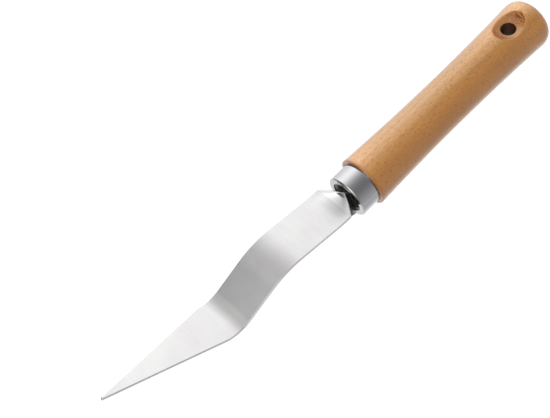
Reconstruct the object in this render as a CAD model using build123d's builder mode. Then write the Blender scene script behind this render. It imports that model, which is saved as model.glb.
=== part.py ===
from build123d import *
import os
from math import cos, radians, sin, tan

# Hand weeder: one pressed stainless strip glued into a turned beech handle behind a steel ferrule.
# Millimetres. The origin is the centre of the hang hole, on the handle's axis.
# +X runs along the handle to its butt and +Z is up, the side of the strip's upper face.

# Handle
SHOULDER_X = -115.4  # front face of the wood, which the ferrule stands against
BUTT_X = 20.9
SHOULDER_RADIUS = 14.7
WAIST_X = -50.0
WAIST_RADIUS = 13.28
SWELL_X = 12.2  # where the side starts to roll over into the butt
SWELL_RADIUS = 14.65
BUTT_FLATNESS = 10.2  # how far out the end stays nearly flat
EDGE_BREAK = 0.6

# Hang hole, drilled through from above, with a shallow dish round each mouth from a round-nosed cutter
HOLE_RADIUS = 4.0
DISH_RADIUS = 14.0
DISH_CENTRE_Z = 24.0

# Ferrule and the spigot it is pressed over
FERRULE_RADIUS = 12.5
FERRULE_LENGTH = 11.8
FERRULE_WALL = 1.0
FERRULE_OPENING = 9.2
FERRULE_CORNER = 0.8

# Blind bore for the tang, and the adhesive that fills it
TANG_BORE_RADIUS = 8.6
TANG_BORE_END_X = -66.0
ADHESIVE_RECESS = 3.0  # how far the fill stops behind the ferrule's mouth

# Strip. Its underside passes through these points, seen from the side.
THICKNESS = 1.5
WIDTH = 24.2
MOUTH_X = SHOULDER_X - FERRULE_LENGTH
MOUTH_Z = 1.89  # where the neck's straight run would reach the ferrule's mouth
CREST = (-180.5, 11.2)
HEEL = (-214.2, -2.8)
POINT = (-286.3, 26.3)
CREST_BEND = 38.0
HEEL_BEND = 17.0

# Plan of the blade
TAPER_X = -222.6  # full width up to here, then a straight taper to the point
POINT_WIDTH = 0.9
POINT_ROUNDING = 0.4

# In front of the ferrule the sides fold down along two creases that close on the middle, and the tang
# behind carries on as a narrow ridge with a wing each side
FOLD_START_X = -135.4
SHOULDER_CORNER_X = -130.7
SHOULDER_FOLD = 45.0
SHOULDER_CROWN = 5.7
SHOULDER_WING = 6.9
SHOULDER_Z = 3.7
TANG_START_X = -128.0
TANG_END_X = -68.0
TANG_FOLD = 46.0
TANG_CROWN = 1.2
TANG_WING = 8.6
TANG_Z = 4.3  # height of its underside: the strip kicks up from the neck as it folds

neck_slope = (CREST[1] - MOUTH_Z) / (MOUTH_X - CREST[0])
neck_direction = (1, 0, -neck_slope)
ferrule_bore = FERRULE_RADIUS - FERRULE_WALL


def neck_z(x):
    """Height of the neck's underside."""
    return MOUTH_Z + neck_slope * (MOUTH_X - x)


def channel(crown, wing, fold):
    """Corners of a section through the strip: a flat crown and a wing folded down at each side."""
    reach = wing * cos(radians(fold))
    drop = wing * sin(radians(fold))
    inset_y = THICKNESS * sin(radians(fold))
    inset_z = THICKNESS * cos(radians(fold))
    tip = (crown + reach, THICKNESS - drop)
    inner_tip = (tip[0] - inset_y, tip[1] - inset_z)
    inner_crown = (crown - THICKNESS * tan(radians(fold / 2)), 0)
    right = [(crown, THICKNESS), tip, inner_tip, inner_crown]
    left = [(-y, z) for y, z in reversed(right)]
    return right + left


os.makedirs("parts", exist_ok=True)

# The strip: bent from the side profile, cut to its plan, then folded and run on as the tang.
with BuildPart() as blade:
    with BuildSketch(Plane.XZ):
        with BuildLine() as underside:
            Polyline(POINT, HEEL, CREST, (FOLD_START_X, neck_z(FOLD_START_X)))
            fillet(underside.vertices().sort_by(Axis.X)[1], HEEL_BEND)
            fillet(underside.vertices().sort_by(Axis.X)[3], CREST_BEND)
            offset(amount=THICKNESS, side=Side.LEFT)
        make_face()
    extrude(amount=WIDTH / 2, both=True)
    with BuildSketch(Plane.XY) as plan:
        with BuildLine():
            Polyline(
                (POINT[0], POINT_WIDTH / 2),
                (TAPER_X, WIDTH / 2),
                (0, WIDTH / 2),
                (0, -WIDTH / 2),
                (TAPER_X, -WIDTH / 2),
                (POINT[0], -POINT_WIDTH / 2),
                close=True,
            )
        make_face()
        fillet(plan.vertices().sort_by(Axis.X)[:2], POINT_ROUNDING)
    extrude(amount=50, both=True, mode=Mode.INTERSECT)

    edge = 0.3
    with BuildSketch(Plane((FOLD_START_X, 0, neck_z(FOLD_START_X)), x_dir=(0, 1, 0), z_dir=neck_direction)):
        with BuildLine():
            Polyline(*channel(WIDTH / 2 - edge, edge, 1.0), close=True)
        make_face()
    shoulder = channel(SHOULDER_CROWN, SHOULDER_WING, SHOULDER_FOLD)
    tang = channel(TANG_CROWN, TANG_WING, TANG_FOLD)
    for x, z, section in (
        (SHOULDER_CORNER_X, SHOULDER_Z, shoulder),
        (TANG_START_X, TANG_Z, tang),
        (TANG_END_X, TANG_Z, tang),
    ):
        with BuildSketch(Plane((x, 0, z), x_dir=(0, 1, 0), z_dir=(1, 0, 0))):
            with BuildLine():
                Polyline(*section, close=True)
            make_face()
    loft(ruled=True)
blade.part.label = "blade"
export_step(blade.part, "parts/blade.step")

# The ferrule: a drawn cap with a round mouth in its flat front.
with BuildPart() as ferrule:
    with BuildSketch(Plane.YZ.offset(MOUTH_X)):
        Circle(FERRULE_RADIUS)
    extrude(amount=FERRULE_LENGTH)
    fillet(ferrule.faces().sort_by(Axis.X)[0].edges(), FERRULE_CORNER)
    with BuildSketch(Plane.YZ.offset(MOUTH_X)):
        Circle(FERRULE_OPENING)
    extrude(amount=FERRULE_WALL, mode=Mode.SUBTRACT)
    with BuildSketch(Plane.YZ.offset(MOUTH_X + FERRULE_WALL)):
        Circle(ferrule_bore)
    extrude(amount=FERRULE_LENGTH, mode=Mode.SUBTRACT)
ferrule.part.label = "ferrule"
export_step(ferrule.part, "parts/ferrule.step")

# The handle: turned to a shallow waist, with a spigot in front and a rounded butt.
with BuildPart() as handle:
    with BuildSketch(Plane.XZ):
        with BuildLine():
            Polyline(
                (BUTT_X, 0),
                (MOUTH_X + FERRULE_WALL, 0),
                (MOUTH_X + FERRULE_WALL, ferrule_bore),
                (SHOULDER_X, ferrule_bore),
                (SHOULDER_X, SHOULDER_RADIUS - EDGE_BREAK),
            )
            RadiusArc(
                (SHOULDER_X, SHOULDER_RADIUS - EDGE_BREAK),
                (SHOULDER_X + EDGE_BREAK, SHOULDER_RADIUS),
                EDGE_BREAK,
            )
            ThreePointArc(
                (SHOULDER_X + EDGE_BREAK, SHOULDER_RADIUS),
                (WAIST_X, WAIST_RADIUS),
                (SWELL_X, SWELL_RADIUS),
            )
            Bezier(
                (SWELL_X, SWELL_RADIUS),
                (SWELL_X + 7.6, SWELL_RADIUS + 0.3),
                (BUTT_X, BUTT_FLATNESS),
                (BUTT_X, 0),
            )
        make_face()
    revolve(axis=Axis.X)
    with BuildSketch(Plane.YZ.offset(TANG_BORE_END_X)):
        Circle(TANG_BORE_RADIUS)
    extrude(amount=MOUTH_X - TANG_BORE_END_X, mode=Mode.SUBTRACT)
    with BuildSketch(Plane.XY):
        Circle(HOLE_RADIUS)
    extrude(amount=SHOULDER_RADIUS, both=True, mode=Mode.SUBTRACT)
    with Locations((0, 0, DISH_CENTRE_Z), (0, 0, -DISH_CENTRE_Z)):
        Sphere(DISH_RADIUS, mode=Mode.SUBTRACT)
handle.part.label = "handle"
export_step(handle.part, "parts/handle.step")

# The adhesive takes up what the tang leaves of the bore.
with BuildPart() as tang_adhesive:
    with BuildSketch(Plane.YZ.offset(TANG_BORE_END_X)):
        Circle(TANG_BORE_RADIUS)
    extrude(amount=MOUTH_X + ADHESIVE_RECESS - TANG_BORE_END_X)
    add(blade.part, mode=Mode.SUBTRACT)
tang_adhesive.part.label = "tang_adhesive"
export_step(tang_adhesive.part, "parts/tang_adhesive.step")
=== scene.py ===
import math

import bmesh
import bpy
import numpy as np
from mathutils import Matrix, Vector


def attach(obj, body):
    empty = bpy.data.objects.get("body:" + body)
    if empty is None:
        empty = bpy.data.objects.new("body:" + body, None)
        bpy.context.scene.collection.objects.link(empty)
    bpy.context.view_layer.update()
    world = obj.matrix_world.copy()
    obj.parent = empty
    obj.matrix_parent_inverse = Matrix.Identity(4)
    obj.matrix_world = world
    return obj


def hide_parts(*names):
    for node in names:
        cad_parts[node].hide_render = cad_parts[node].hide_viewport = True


# Looks of the hand weeder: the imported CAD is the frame, and each piece here is a finer mesh of its node.
# Shapes are worked out in millimetres, in the CAD's frame, and become metres in new_mesh.
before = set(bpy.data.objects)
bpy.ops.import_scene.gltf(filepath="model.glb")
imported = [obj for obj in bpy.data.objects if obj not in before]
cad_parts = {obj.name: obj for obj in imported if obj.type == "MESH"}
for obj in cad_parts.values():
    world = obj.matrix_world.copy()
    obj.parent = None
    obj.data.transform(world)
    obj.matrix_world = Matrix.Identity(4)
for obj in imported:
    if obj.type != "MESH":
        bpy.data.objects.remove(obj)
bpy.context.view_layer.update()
MM = 0.001
WELD = 0.002

# Handle
SHOULDER_X, BUTT_X, WAIST_X, SWELL_X = -115.4, 20.9, -50.0, 12.2
SHOULDER_R, WAIST_R, SWELL_R, BUTT_FLATNESS = 14.69, 13.28, 14.65, 10.2
EDGE_BREAK = 0.6
BORE_R, BORE_END_X = 8.6, -66.0
HOLE_R, DISH_R, DISH_Z = 4.0, 14.0, 24.0

# Ferrule
FERRULE_R, FERRULE_LENGTH, FERRULE_WALL, MOUTH_R, CORNER_R = 12.5, 11.8, 1.0, 9.2, 0.8
MOUTH_X = SHOULDER_X - FERRULE_LENGTH
SPIGOT_R = FERRULE_R - FERRULE_WALL
FILL_X = MOUTH_X + 3.0

# Strip
THICKNESS, WIDTH = 1.5, 24.2
MOUTH_Z = 1.89
CREST, HEEL, POINT = (-180.5, 11.2), (-214.2, -2.8), (-286.3, 26.3)
CREST_BEND, HEEL_BEND = 38.0, 17.0
TAPER_X, POINT_HALF_WIDTH = -222.6, 0.45
TANG_Z, TANG_END_X = 4.3, -68.0


def new_mesh(name, verts, faces, material, node, slot):
    """A closed, smooth-shaded mesh from points in millimetres, riding on the root in place of its CAD node.
    Points closer than WELD become one."""
    mesh = bpy.data.meshes.new(name)
    mesh.from_pydata([tuple(v) for v in np.asarray(verts, float) * MM], [], faces)
    skin = bmesh.new()
    skin.from_mesh(mesh)
    bmesh.ops.remove_doubles(skin, verts=skin.verts, dist=WELD * MM)
    bmesh.ops.recalc_face_normals(skin, faces=skin.faces)
    skin.to_mesh(mesh)
    skin.free()
    mesh.validate()
    mesh.shade_smooth()
    mesh.materials.append(material)
    obj = bpy.data.objects.new(name, mesh)
    bpy.context.scene.collection.objects.link(obj)
    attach(obj, "root")
    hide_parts(node)
    return obj


def rings_to_mesh(rings, cap_start=True, cap_end=True):
    """Vertices and faces of a tube skinned over closed rings of equal length: its side faces first, ring
    by ring, then its caps."""
    count = len(rings[0])
    verts = np.concatenate(rings)
    faces = []
    for i in range(len(rings) - 1):
        a, b = i * count, (i + 1) * count
        faces += [(a + j, a + (j + 1) % count, b + (j + 1) % count, b + j) for j in range(count)]
    if cap_start:
        faces.append(tuple(range(count)))
    if cap_end:
        faces.append(tuple(range(len(verts) - count, len(verts))))
    return verts, faces


def lathe(profile, count):
    """Rings round the X axis through the (x, radius) points of a profile."""
    turn = np.linspace(0, 2 * math.pi, count, endpoint=False)
    return [np.stack([np.full(count, x), r * np.sin(turn), r * np.cos(turn)], 1) for x, r in profile]


def arc_points(cx, cy, r, start, end, steps):
    """Points on an arc about (cx, cy), angles in degrees."""
    return [
        (cx + r * math.cos(math.radians(a)), cy + r * math.sin(math.radians(a)))
        for a in np.linspace(start, end, steps)
    ]


# Materials ---------------------------------------------------------------------------------------


def new_material(name):
    """A material with its node tree and its main shader."""
    material = bpy.data.materials.new(name)
    material.use_nodes = True
    tree = material.node_tree
    return material, tree, tree.nodes["Principled BSDF"]


def node(tree, kind, inputs=None, **settings):
    """A new shader node. Each input is a value, or a socket to link from."""
    made = tree.nodes.new(kind)
    for key, value in settings.items():
        setattr(made, key, value)
    for key, value in (inputs or {}).items():
        if isinstance(value, bpy.types.NodeSocket):
            tree.links.new(value, made.inputs[key])
        else:
            made.inputs[key].default_value = value
    return made


def ramp(tree, factor, stops):
    """The colour at a factor between stops of (position, colour)."""
    made = node(tree, "ShaderNodeValToRGB", {"Fac": factor})
    while len(made.color_ramp.elements) < len(stops):
        made.color_ramp.elements.new(0.5)
    for element, (position, colour) in zip(made.color_ramp.elements, stops):
        element.position = position
        element.color = (*colour, 1)
    return made.outputs["Color"]


def surface_place(tree, stretch=(1.0, 1.0, 1.0), shift=(0.0, 0.0, 0.0)):
    """Where a point is on its piece, in metres, with each axis stretched and shifted."""
    place = node(tree, "ShaderNodeTexCoord").outputs["Object"]
    mapped = node(tree, "ShaderNodeMapping", {"Vector": place, "Scale": stretch, "Location": shift})
    return mapped.outputs["Vector"]


def noise(tree, scale, detail, stretch=(1.0, 1.0, 1.0)):
    inputs = {"Vector": surface_place(tree, stretch), "Scale": scale, "Detail": detail}
    return node(tree, "ShaderNodeTexNoise", inputs).outputs["Fac"]


def maths(tree, operation, first, second=0.0, third=0.0):
    return node(tree, "ShaderNodeMath", {0: first, 1: second, 2: third}, operation=operation).outputs["Value"]


def bump(tree, height, strength, distance, normal=None):
    inputs = {"Height": height, "Strength": strength, "Distance": distance}
    if normal is not None:
        inputs["Normal"] = normal
    return node(tree, "ShaderNodeBump", inputs).outputs["Normal"]


def blend(tree, factor, first, second, mode="MIX"):
    """Two colours mixed by a factor. Inputs 6 and 7 of the node are its colour sockets."""
    mixed = node(tree, "ShaderNodeMix", data_type="RGBA", blend_type=mode)
    for key, value in (("Factor", factor), (6, first), (7, second)):
        socket = mixed.inputs[key]
        if isinstance(value, bpy.types.NodeSocket):
            tree.links.new(value, socket)
        else:
            socket.default_value = value if isinstance(value, float) else (*value, 1.0)
    return mixed.outputs[2]


def spread(tree, value, low, high, to_low=0.0, to_high=1.0, linear=False):
    """A value carried from one range to another, easing in and out unless linear."""
    made = node(
        tree,
        "ShaderNodeMapRange",
        {"Value": value, "From Min": low, "From Max": high, "To Min": to_low, "To Max": to_high},
        interpolation_type="LINEAR" if linear else "SMOOTHSTEP",
    )
    return made.outputs["Result"]


def steel(name, colour, roughness, waves):
    """Bright sheet, slightly uneven in tone and rubbed along its length."""
    material, tree, shader = new_material(name)
    shader.inputs["Metallic"].default_value = 1.0
    grit = noise(tree, 1400.0, 3.0)
    broad = noise(tree, 45.0, 2.0)
    rubbed = noise(tree, 2200.0, 2.0, (1.0, 0.06, 1.0))
    dull = [c * k for c, k in zip(colour, (0.95, 0.92, 0.94))]
    tree.links.new(ramp(tree, broad, [(0.35, dull), (0.65, colour)]), shader.inputs["Base Color"])
    rough = spread(tree, rubbed, 0.3, 0.7, roughness * 0.8, roughness * 1.2)
    tree.links.new(rough, shader.inputs["Roughness"])
    normal = bump(tree, broad, waves, 0.001, bump(tree, grit, 0.03, 0.0001))
    tree.links.new(normal, shader.inputs["Normal"])
    return material


# Painted light: the wood is painted paler towards this side, where the light falls, and darker away from it
PAINTED_LIGHT_SIDE = (0.0, 0.342, 0.940)  # the direction in which the wood is palest


def beech():
    """Lacquered beech with its grain along X: pale ochre, short dark ray flecks, redder open end grain."""
    material, tree, shader = new_material("beech")
    place = node(tree, "ShaderNodeSeparateXYZ", {"Vector": surface_place(tree)}).outputs

    def distance_from(point, **axes):
        """Distance from a point, measured along the axes given."""
        spot = node(tree, "ShaderNodeCombineXYZ", axes).outputs["Vector"]
        return node(tree, "ShaderNodeVectorMath", {0: spot, 1: point}, operation="DISTANCE").outputs["Value"]

    # Broad tone: the wood's ochre with painted light, paler towards the side the light falls on and darker on
    # the shaded side, with soft patches, growth rings and fine fibres
    painted_light_facing = node(
        tree, "ShaderNodeVectorMath", {0: surface_place(tree), 1: PAINTED_LIGHT_SIDE}, operation="DOT_PRODUCT"
    )
    pale = spread(tree, painted_light_facing.outputs["Value"], 0.0, SHOULDER_R * MM, linear=True)
    tone = ramp(tree, pale, [
        (0.05, (0.510, 0.200, 0.028)),
        (0.50, (0.570, 0.235, 0.044)),
        (0.72, (0.550, 0.243, 0.046)),
        (0.86, (0.660, 0.325, 0.088)),
        (0.96, (0.800, 0.405, 0.138)),
        (1.00, (0.930, 0.505, 0.195)),
    ])
    cloud = noise(tree, 70.0, 2.0, (0.3, 1.0, 1.0))
    patchy = ramp(tree, cloud, [(0.35, (0.93, 0.93, 0.90)), (0.65, (1.05, 1.04, 1.12))])
    tone = blend(tree, 1.0, tone, patchy, "MULTIPLY")
    rings = node(
        tree,
        "ShaderNodeTexWave",
        {
            "Vector": surface_place(tree, (0.25, 1.0, 1.0), (0.0, 0.034, -0.021)),
            "Scale": 75.0,
            "Distortion": 3.0,
            "Detail": 2.0,
            "Detail Scale": 1.5,
        },
        wave_type="RINGS",
        rings_direction="X",
    )
    late_wood = spread(tree, rings.outputs["Fac"], 0.2, 1.0, 0.0, 0.15)
    tone = blend(tree, late_wood, tone, (0.34, 0.14, 0.035))
    fibres = noise(tree, 2300.0, 3.0, (0.20, 1.0, 1.0))
    tone = blend(tree, spread(tree, fibres, 0.36, 0.58, 0.33, 0.0), tone, (0.28, 0.12, 0.035))

    # Ray flecks: the cores of some of the cells of a pattern drawn out along the grain
    cells = node(
        tree, "ShaderNodeTexVoronoi", {"Vector": surface_place(tree, (0.25, 1.0, 1.0)), "Scale": 1350.0}
    )
    pick = node(tree, "ShaderNodeSeparateColor", {"Color": cells.outputs["Color"]}).outputs["Red"]
    core = spread(tree, cells.outputs["Distance"], 0.16, 0.36, 0.85, 0.0)
    fleck = maths(tree, "MULTIPLY", spread(tree, pick, 0.30, 0.90), core)
    tone = blend(tree, fleck, tone, (0.30, 0.100, 0.008))

    # Dishes: painted shade makes them darker than the side, with less of it towards -Y, where the light falls
    above = maths(tree, "ABSOLUTE", place["Z"])
    from_cutter = distance_from((0, 0, DISH_Z * MM), X=place["X"], Y=place["Y"], Z=above)
    dished = spread(tree, from_cutter, DISH_R * MM, (DISH_R + 0.7) * MM, 1.0, 0.0)
    painted_dish_shade = maths(tree, "MULTIPLY", dished, spread(tree, place["Y"], -0.006, 0.0, 0.05, 0.6))
    tone = blend(tree, painted_dish_shade, tone, (0.36, 0.122, 0.022))

    # End grain, where the surface faces along X: sanded and sealed on the ends, torn in the dishes
    normal = node(tree, "ShaderNodeNewGeometry").outputs["Normal"]
    along = maths(tree, "ABSOLUTE", node(tree, "ShaderNodeSeparateXYZ", {"Vector": normal}).outputs["X"])
    pores = noise(tree, 900.0, 4.0)
    end_grain = spread(tree, maths(tree, "MULTIPLY_ADD", pores, 0.5, along), 0.50, 0.85)
    open_tone = ramp(tree, pores, [(0.38, (0.11, 0.030, 0.006)), (0.60, (0.60, 0.22, 0.055))])
    strength = maths(tree, "MULTIPLY", end_grain, spread(tree, dished, 0.0, 1.0, 0.35, 0.9))
    tone = blend(tree, strength, tone, open_tone)
    torn = maths(tree, "MULTIPLY", end_grain, dished)

    # Front shoulder: a reddish edge, and painted shade in the seam where the ferrule stands against it
    shoulder = spread(tree, place["X"], (SHOULDER_X + 0.5) * MM, (SHOULDER_X + 2.2) * MM, 0.65, 0.0)
    tone = blend(tree, shoulder, tone, (0.42, 0.135, 0.022))
    radius = distance_from((0, 0, 0), Y=place["Y"], Z=place["Z"])
    painted_seam_shade = spread(tree, radius, (FERRULE_R + 0.3) * MM, (FERRULE_R + 0.9) * MM, 0.85, 0.0)
    face = spread(tree, place["X"], (SHOULDER_X + 0.2) * MM, (SHOULDER_X + 0.5) * MM, 1.0, 0.0)
    tone = blend(tree, maths(tree, "MULTIPLY", painted_seam_shade, face), tone, (0.055, 0.022, 0.010))

    # Painted shade: the wood is painted near-black inside the ferrule's mouth and down the hang hole
    inside = spread(tree, place["X"], -0.1215, -0.1195, 0.93, 0.0)
    tone = blend(tree, inside, tone, (0.012, 0.006, 0.003))
    from_hole = distance_from((0, 0, 0), X=place["X"], Y=place["Y"])
    painted_hole_shade = spread(tree, from_hole, (HOLE_R + 0.1) * MM, (HOLE_R + 0.6) * MM, 0.9, 0.0)
    tone = blend(tree, painted_hole_shade, tone, (0.045, 0.012, 0.004))
    tree.links.new(tone, shader.inputs["Base Color"])

    # Lacquer, thin in the dishes and gone from the torn fibres and the hole
    shader.inputs["IOR"].default_value = 1.5
    shader.inputs["Coat Roughness"].default_value = 0.24
    bald = maths(tree, "MAXIMUM", maths(tree, "MAXIMUM", torn, painted_dish_shade), painted_hole_shade)
    tree.links.new(spread(tree, bald, 0.0, 1.0, 1.0, 0.05, linear=True), shader.inputs["Coat Weight"])
    rough = maths(tree, "MULTIPLY_ADD", torn, 0.3, spread(tree, fibres, 0.3, 0.7, 0.42, 0.58))
    tree.links.new(rough, shader.inputs["Roughness"])
    smooth = bump(tree, fibres, 0.12, 0.0001)
    normal = bump(tree, maths(tree, "MULTIPLY", torn, pores), 0.8, 0.0008, smooth)
    tree.links.new(normal, shader.inputs["Normal"])
    return material


def epoxy():
    """Dark adhesive with a lumpy skin."""
    material, tree, shader = new_material("epoxy")
    lumps = noise(tree, 500.0, 3.0)
    tone = ramp(tree, lumps, [(0.3, (0.02, 0.011, 0.006)), (0.7, (0.05, 0.028, 0.016))])
    tree.links.new(tone, shader.inputs["Base Color"])
    shader.inputs["Roughness"].default_value = 0.6
    tree.links.new(bump(tree, lumps, 0.4, 0.0005), shader.inputs["Normal"])
    return material


STEEL = steel("stainless_strip", (0.60, 0.60, 0.595), 0.22, 0.02)
FERRULE_STEEL = steel("ferrule_steel", (0.492, 0.496, 0.505), 0.08, 0.01)
WOOD = beech()
EPOXY = epoxy()

# Strip -------------------------------------------------------------------------------------------


def bend(before, corner, after, radius, steps):
    """Points of the arc that rounds a corner between two straight runs."""
    before, corner, after = (np.array(p, float) for p in (before, corner, after))
    to_before = (before - corner) / np.linalg.norm(before - corner)
    to_after = (after - corner) / np.linalg.norm(after - corner)
    half = math.acos(np.clip(to_before @ to_after, -1, 1)) / 2
    reach = radius / math.tan(half)
    bisector = (to_before + to_after) / np.linalg.norm(to_before + to_after)
    centre = corner + bisector * radius / math.sin(half)
    start, end = corner + to_before * reach, corner + to_after * reach
    a = math.atan2(*(start - centre)[::-1])
    b = math.atan2(*(end - centre)[::-1])
    b = a + (b - a + math.pi) % (2 * math.pi) - math.pi
    return [centre + radius * np.array([math.cos(t), math.sin(t)]) for t in np.linspace(a, b, steps)]


# Along the strip: x, half-width of the crown, width of the wing, fold, and how far the crown itself is
# arched, both in degrees
FOLDS = [
    (-149.0, 12.1, 0.0, 38.0, 0.0),
    (-141.4, 12.1, 0.0, 38.0, 2.0),
    (-135.4, 12.1, 0.0, 38.0, 7.0),
    (-130.7, 5.7, 6.9, 45.0, 11.0),
    (-128.0, 1.2, 8.6, 46.0, 0.0),
    (0.0, 1.2, 8.6, 46.0, 0.0),
]
FOLD_START_X, SHOULDER_CORNER_X, TANG_START_X = (FOLDS[i][0] for i in (2, 3, 4))


def strip_underside():
    """Close points along the strip's underside, seen from the side, from the point to the tang's end."""
    slope = (CREST[1] - MOUTH_Z) / (MOUTH_X - CREST[0])
    rise, turn = ((x, MOUTH_Z + slope * (MOUTH_X - x)) for x in (FOLD_START_X - 10, FOLD_START_X))
    tang = np.array((TANG_START_X, TANG_Z))
    corners = [np.array(POINT, float)]
    corners += bend(POINT, HEEL, CREST, HEEL_BEND, 25)
    corners += bend(HEEL, CREST, turn, CREST_BEND, 25)
    corners += [
        (1 - t) ** 2 * np.array(rise) + 2 * t * (1 - t) * np.array(turn) + t**2 * tang
        for t in np.linspace(0, 1, 25)
    ]
    corners.append(np.array((TANG_END_X, TANG_Z)))
    line = []
    for a, b in zip(corners, corners[1:]):
        spacing = 0.3 if FOLD_START_X - 1 < b[0] < TANG_START_X + 3 else 1.0
        steps = max(1, int(np.linalg.norm(b - a) / spacing))
        line += [a + (b - a) * i / steps for i in range(steps)]
    line.append(corners[-1])
    return np.array(line)


def half_width(x):
    """Half the strip's width at a station, from its plan."""
    along = (x - POINT[0]) / (TAPER_X - POINT[0])
    return min(WIDTH / 2, POINT_HALF_WIDTH + (WIDTH / 2 - POINT_HALF_WIDTH) * along)


def fold_at(x):
    """Half-width of the crown, width of the wing, and fold and arch in radians at a station."""
    if x <= FOLDS[0][0]:
        return half_width(x), 0.0, 0.0, 0.0
    for before, after in zip(FOLDS, FOLDS[1:]):
        if x <= after[0]:
            t = (x - before[0]) / (after[0] - before[0])
            crown, wing, fold, arch = (a + (b - a) * t for a, b in zip(before[1:], after[1:]))
            return crown, wing, math.radians(fold), math.radians(arch)


def strip_section(crown, wing, fold, arch):
    """One closed ring round the strip in its section plane: (across, up) from the underside's middle."""
    edge = 0.22  # radius of the rounding along the strip's edges
    end = crown + wing - edge
    soft = min(0.9, 0.8 * crown, 0.5 * wing)  # half the length of the bend at the crease
    crease = min(crown + soft, end - 0.05)
    flat = min(crown - soft, crease - 0.05)
    w = np.concatenate([
        np.linspace(0, flat, 12)[:-1],
        np.linspace(flat, crease, 9)[:-1],
        np.linspace(crease, end, 9),
    ])
    angle = arch * np.sin(math.pi * np.clip(w / crown / 0.85, 0, 1) ** 1.3)
    if wing > 0:
        angle = angle + fold * np.clip((w - (crown - soft)) / (2 * soft), 0, 1)
    middle = (angle[1:] + angle[:-1]) / 2
    y = np.concatenate([[0], np.cumsum(np.diff(w) * np.cos(middle))])
    z = THICKNESS - np.concatenate([[0], np.cumsum(np.diff(w) * np.sin(middle))])
    z += THICKNESS - np.interp(crown - soft, w, z)  # the arch stands above the creases
    top = np.stack([y, z], 1)
    normal = np.stack([np.sin(angle), np.cos(angle)], 1)
    bottom = top - normal * THICKNESS
    along = np.array([math.cos(angle[-1]), -math.sin(angle[-1])])
    out = normal[-1]
    rim = []
    for corner, first in ((top[-1] - out * edge, 90), (bottom[-1] + out * edge, 0)):
        for a in np.linspace(first, first - 90, 5):
            rim.append(corner + edge * (along * math.cos(math.radians(a)) + out * math.sin(math.radians(a))))
    right = np.concatenate([top[:-1], rim, bottom[::-1][1:]])
    left = right[1:-1][::-1] * np.array([-1, 1])
    return np.concatenate([right, left])


def build_strip():
    line = strip_underside()
    tangent = np.gradient(line, axis=0)
    tangent /= np.linalg.norm(tangent, axis=1)[:, None]
    normal = np.stack([-tangent[:, 1], tangent[:, 0]], 1)
    rings = []
    for point, up in zip(line, normal):
        upright = np.clip((point[0] - FOLD_START_X) / (SHOULDER_CORNER_X - FOLD_START_X), 0, 1)
        up = up + (np.array([0, 1]) - up) * upright
        section = strip_section(*fold_at(point[0]))
        spot = point + section[:, 1:] * up
        rings.append(np.stack([spot[:, 0], section[:, 0], spot[:, 1]], 1))
    return rings_to_mesh(rings)


blade = new_mesh("blade_strip", *build_strip(), STEEL, "blade", "blade_steel")

# Ferrule -----------------------------------------------------------------------------------------


LIP = 0.25  # rounding of the mouth's rim
FERRULE_TURNS = 192


def build_ferrule():
    """The cap's whole section, inside and out, turned about X."""
    inner = MOUTH_X + FERRULE_WALL
    profile = [(SHOULDER_X, SPIGOT_R), (inner, SPIGOT_R), (inner, MOUTH_R + LIP)]
    profile += arc_points(inner - LIP, MOUTH_R + LIP, LIP, 0, -90, 4)[1:]
    profile += arc_points(MOUTH_X + LIP, MOUTH_R + LIP, LIP, -90, -180, 4)
    profile += [(MOUTH_X, r) for r in np.linspace(MOUTH_R + 0.6, FERRULE_R - CORNER_R - 0.2, 4)]
    profile += arc_points(MOUTH_X + CORNER_R, FERRULE_R - CORNER_R, CORNER_R, 180, 90, 9)
    profile += [(x, FERRULE_R) for x in np.linspace(MOUTH_X + 1.2, SHOULDER_X - 0.3, 8)]
    profile += arc_points(SHOULDER_X - 0.15, FERRULE_R - 0.15, 0.15, 90, 0, 3)
    profile += [(SHOULDER_X, SPIGOT_R + 0.3), profile[0]]
    return rings_to_mesh(lathe(profile, FERRULE_TURNS), cap_start=False, cap_end=False)


new_mesh("ferrule_cap", *build_ferrule(), FERRULE_STEEL, "ferrule", "ferrule_steel")

# Handle ------------------------------------------------------------------------------------------


def side_radius(x):
    """Radius of the handle's long side: the arc through shoulder, waist and swell."""
    (x0, r0), (x1, r1), (x2, r2) = (
        (SHOULDER_X + EDGE_BREAK, SHOULDER_R),
        (WAIST_X, WAIST_R),
        (SWELL_X, SWELL_R),
    )
    a = np.array([[2 * x0, 2 * r0, 1], [2 * x1, 2 * r1, 1], [2 * x2, 2 * r2, 1]])
    cx, cr, k = np.linalg.solve(a, [x0**2 + r0**2, x1**2 + r1**2, x2**2 + r2**2])
    big = math.sqrt(k + cx**2 + cr**2)
    return cr - np.sqrt(big**2 - (np.asarray(x, float) - cx) ** 2)


def butt_curve(t):
    """Points (x, radius) along the Bezier that rounds the butt off."""
    p = np.array([(SWELL_X, SWELL_R), (SWELL_X + 7.6, SWELL_R + 0.3), (BUTT_X, BUTT_FLATNESS), (BUTT_X, 0)])
    t = np.asarray(t, float)[:, None]
    return (1 - t) ** 3 * p[0] + 3 * (1 - t) ** 2 * t * p[1] + 3 * (1 - t) * t**2 * p[2] + t**3 * p[3]


TURNS = 96
SIDE_STEPS = 59  # from the shoulder to the patch round the hole
PATCH = 16  # columns of the grid, each side of the top, that give way to the patch
PATCH_X, PATCH_STEPS = (-15.0, 11.5), 18
SEED = 7


def dish_z(rho):
    """Height of the dish at a distance from the hole's axis."""
    return DISH_Z - np.sqrt(DISH_R**2 - np.asarray(rho) ** 2)


def side_z(x, y):
    """Height of the handle's side above a point of its middle plane."""
    return np.sqrt(side_radius(x) ** 2 - y**2)


def rim_radius(theta):
    """Distance from the hole's axis at which the dish meets the handle's surface."""
    low, high = np.full_like(theta, HOLE_R), np.full_like(theta, 11.0)
    for _ in range(30):
        rho = (low + high) / 2
        inside = dish_z(rho) < side_z(rho * np.cos(theta), rho * np.sin(theta))
        low, high = np.where(inside, rho, low), np.where(inside, high, rho)
    return low


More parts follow.
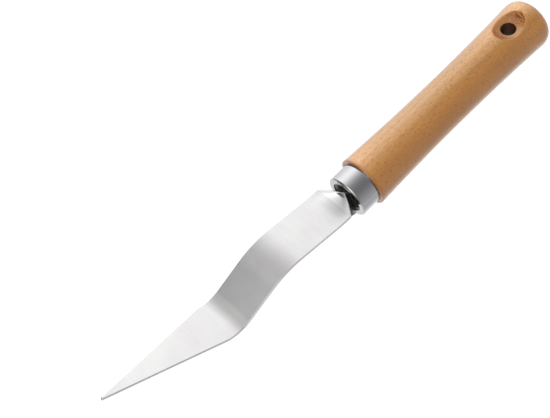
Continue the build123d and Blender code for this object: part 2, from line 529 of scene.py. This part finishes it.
def patch_rings(up, rng):
    """Rings from the patch's outline on the handle down through the dish to the middle of the hole.
    The first ring is the outline itself. up is 1 for the upper mouth and -1 for the lower one."""
    xs = np.linspace(PATCH_X[0], PATCH_X[1], PATCH_STEPS + 1)
    turns = np.linspace(-PATCH, PATCH, 2 * PATCH + 1) * 2 * math.pi / TURNS
    outline = [(x, turns[0]) for x in xs[:-1]]
    outline += [(xs[-1], t) for t in turns[:-1]]
    outline += [(x, turns[-1]) for x in xs[::-1][:-1]]
    outline += [(xs[0], t) for t in turns[::-1][:-1]]
    outline = np.array(outline)
    theta = np.arctan2(14.2 * outline[:, 1], outline[:, 0])
    across, out = np.cos(theta), np.sin(theta)
    torn = np.abs(across) ** 3  # the cutter tears the fibres where it meets their ends
    rim = rim_radius(theta) + 0.25 * torn * rng.normal(size=len(theta))
    edge = 0.9 - 0.55 * torn
    start = np.stack([(rim + edge) * across, (rim + edge) * out], 1)
    start[:, 1] = np.arcsin(start[:, 1] / side_radius(start[:, 0]))
    rings = []
    for t in np.linspace(0, 1, 15) ** 0.8:
        spot = outline + (start - outline) * t
        r = side_radius(spot[:, 0])
        rings.append(np.stack([spot[:, 0], r * np.sin(spot[:, 1]), r * np.cos(spot[:, 1])], 1))

    def ring(rho, z):
        return np.stack([rho * across, rho * out, np.minimum(z, side_z(rho * across, rho * out))], 1)

    outer, corner = rings[-1], ring(rim, side_z(rim * across, rim * out))
    inner = ring(rim - edge, dish_z(rim - edge))
    for t in np.linspace(0, 1, 6)[1:]:
        rings.append((1 - t) ** 2 * outer + 2 * t * (1 - t) * corner + t**2 * inner)
    lip = HOLE_R + 0.4
    for t in np.linspace(0, 1, 24)[1:]:
        rho = rim - edge + (lip - rim + edge) * t
        depth = 0.16 * torn * math.sin(math.pi * t) ** 0.5 * np.abs(rng.normal(size=len(theta)))
        rings.append(ring(rho, dish_z(rho) - depth))
    outer, corner = rings[-1], ring(np.full_like(rim, HOLE_R), np.full_like(rim, dish_z(HOLE_R)))
    inner = corner - np.array([0, 0, 0.5])
    for t in np.linspace(0, 1, 5)[1:]:
        rings.append((1 - t) ** 2 * outer + 2 * t * (1 - t) * corner + t**2 * inner)
    for z in np.linspace(inner[0, 2], 0, 10)[1:]:
        rings.append(ring(np.full_like(rim, HOLE_R), np.full_like(rim, z)))
    return [r * np.array([1, 1, up]) for r in rings]


def build_handle():
    """The turned stick with its bore, and a hole through it between two dishes, where a patch of rings
    round the hole takes the place of the turned grid at the top and at the bottom."""
    rng = np.random.default_rng(SEED)
    profile = [
        (BORE_END_X, 0.5),
        (BORE_END_X, BORE_R),
        (MOUTH_X + FERRULE_WALL, BORE_R),
        (MOUTH_X + FERRULE_WALL, SPIGOT_R),
        (SHOULDER_X, SPIGOT_R),
        (SHOULDER_X, FERRULE_R + 0.4),
    ]
    profile += arc_points(SHOULDER_X + EDGE_BREAK, SHOULDER_R - EDGE_BREAK, EDGE_BREAK, 180, 90, 6)[:-1]
    patch_start = len(profile) + SIDE_STEPS
    stations = list(np.linspace(SHOULDER_X + EDGE_BREAK, PATCH_X[0], SIDE_STEPS + 1))
    stations += list(np.linspace(PATCH_X[0], PATCH_X[1], PATCH_STEPS + 1))[1:]
    profile += [(x, float(side_radius(x))) for x in stations]
    profile += [tuple(p) for p in butt_curve(np.linspace(0, 1, 40) ** 0.9)[:-1]]

    def patched(ring, column):
        from_top = min(column, TURNS - 1 - column)
        at_height = from_top < PATCH or from_top >= TURNS // 2 - PATCH
        return patch_start <= ring < patch_start + PATCH_STEPS and at_height

    verts, faces = rings_to_mesh(lathe(profile, TURNS))
    faces = [face for i, face in enumerate(faces) if not patched(*divmod(i, TURNS))]
    upper, lower = patch_rings(1, rng), patch_rings(-1, rng)
    patch_verts, patch_faces = rings_to_mesh(upper + lower[::-1][1:], cap_start=False, cap_end=False)
    faces += [tuple(len(verts) + i for i in face) for face in patch_faces]
    return np.concatenate([verts, patch_verts]), faces


new_mesh("handle_turned", *build_handle(), WOOD, "handle", "beech")

# Adhesive ----------------------------------------------------------------------------------------


def build_fill():
    """A plug that fills the bore, with a rounded meniscus in front."""
    profile = [(BORE_END_X, 0.2), (BORE_END_X, BORE_R)]
    profile += [(FILL_X - 0.8, BORE_R), (FILL_X - 0.2, BORE_R - 0.5), (FILL_X, BORE_R - 1.6), (FILL_X, 0.3)]
    return rings_to_mesh(lathe(profile, 96))


def cut_away(obj, tool):
    """Take the tool's shape out of a piece."""
    cut = obj.modifiers.new("cut", "BOOLEAN")
    cut.operation, cut.solver, cut.object = "DIFFERENCE", "EXACT", tool
    whole = obj.data
    obj.data = bpy.data.meshes.new_from_object(obj.evaluated_get(bpy.context.evaluated_depsgraph_get()))
    obj.modifiers.clear()
    bpy.data.meshes.remove(whole)


fill = new_mesh("tang_fill", *build_fill(), EPOXY, "tang_adhesive", "adhesive")
cut_away(fill, blade)

# Floor, light and camera -------------------------------------------------------------------------


# The studio as seen from the tool: a large soft source high beyond the butt with its bounce below,
# another nearly overhead on the blade's side, and a darker surround. Each is brightness, tightness and
# direction.
STUDIO_GREY = 1.88
STUDIO = [
    (-2.16, 0.33, (-0.51, 0.29, 0.81)),
    (1.83, 4.6, (0.43, 0.71, 0.56)),
    (0.49, 8.7, (0.36, 0.90, -0.23)),
    (3.31, 8.7, (-0.51, -0.16, 0.84)),
]


def build_studio():
    """A world lit by soft lobes, each brightest along its direction."""
    world = bpy.data.worlds.new("studio")
    bpy.context.scene.world = world
    world.use_nodes = True
    tree = world.node_tree
    direction = node(tree, "ShaderNodeTexCoord").outputs["Generated"]
    total = STUDIO_GREY
    for brightness, tightness, aim in STUDIO:
        aim = tuple(Vector(aim).normalized())
        toward = node(tree, "ShaderNodeVectorMath", {0: direction, 1: aim}, operation="DOT_PRODUCT")
        fall = maths(tree, "MULTIPLY_ADD", toward.outputs["Value"], tightness, -tightness)
        total = maths(tree, "MULTIPLY_ADD", maths(tree, "EXPONENT", fall), brightness, total)
    tree.links.new(maths(tree, "MAXIMUM", total, 0.03), tree.nodes["Background"].inputs["Strength"])
    tree.nodes["Background"].inputs["Color"].default_value = (1, 1, 1, 1)


def build_floor():
    """A sheet of lit opal acrylic far enough below that the tool throws no shadow on it."""
    mesh = bpy.data.meshes.new("floor")
    z, reach = -0.45, 1.2
    corners = [(-reach, -reach, z), (reach, -reach, z), (reach, reach, z), (-reach, reach, z)]
    mesh.from_pydata(corners, [], [(0, 1, 2, 3)])
    material, tree, shader = new_material("floor")
    shader.inputs["Base Color"].default_value = (0.75, 0.75, 0.75, 1)
    shader.inputs["Roughness"].default_value = 0.9
    shader.inputs["Emission Color"].default_value = (1, 1, 1, 1)
    across = node(tree, "ShaderNodeSeparateXYZ", {"Vector": surface_place(tree)}).outputs["Y"]
    tree.links.new(spread(tree, across, -0.40, -0.08, 0.0, 0.35), shader.inputs["Emission Strength"])
    mesh.materials.append(material)
    floor = bpy.data.objects.new("floor", mesh)
    bpy.context.scene.collection.objects.link(floor)


build_studio()
build_floor()
bpy.context.scene.view_settings.view_transform = "Standard"

camera_data = bpy.data.cameras.new("camera")
camera_data.lens, camera_data.sensor_width = 70.0, 36.0
camera_data.shift_x, camera_data.shift_y = -0.5 / 550, 0.5 / 550
camera_data.clip_start = 0.05
camera = bpy.data.objects.new("camera", camera_data)
right, up = Vector((0.7051, -0.6877, -0.1732)), Vector((0.6700, 0.5659, 0.4806))
turn = Matrix((right, up, right.cross(up).normalized())).transposed().to_4x4()
camera.matrix_world = Matrix.Translation((-0.2854, -0.2292, 0.4776)) @ turn
bpy.context.scene.collection.objects.link(camera)
bpy.context.scene.camera = camera
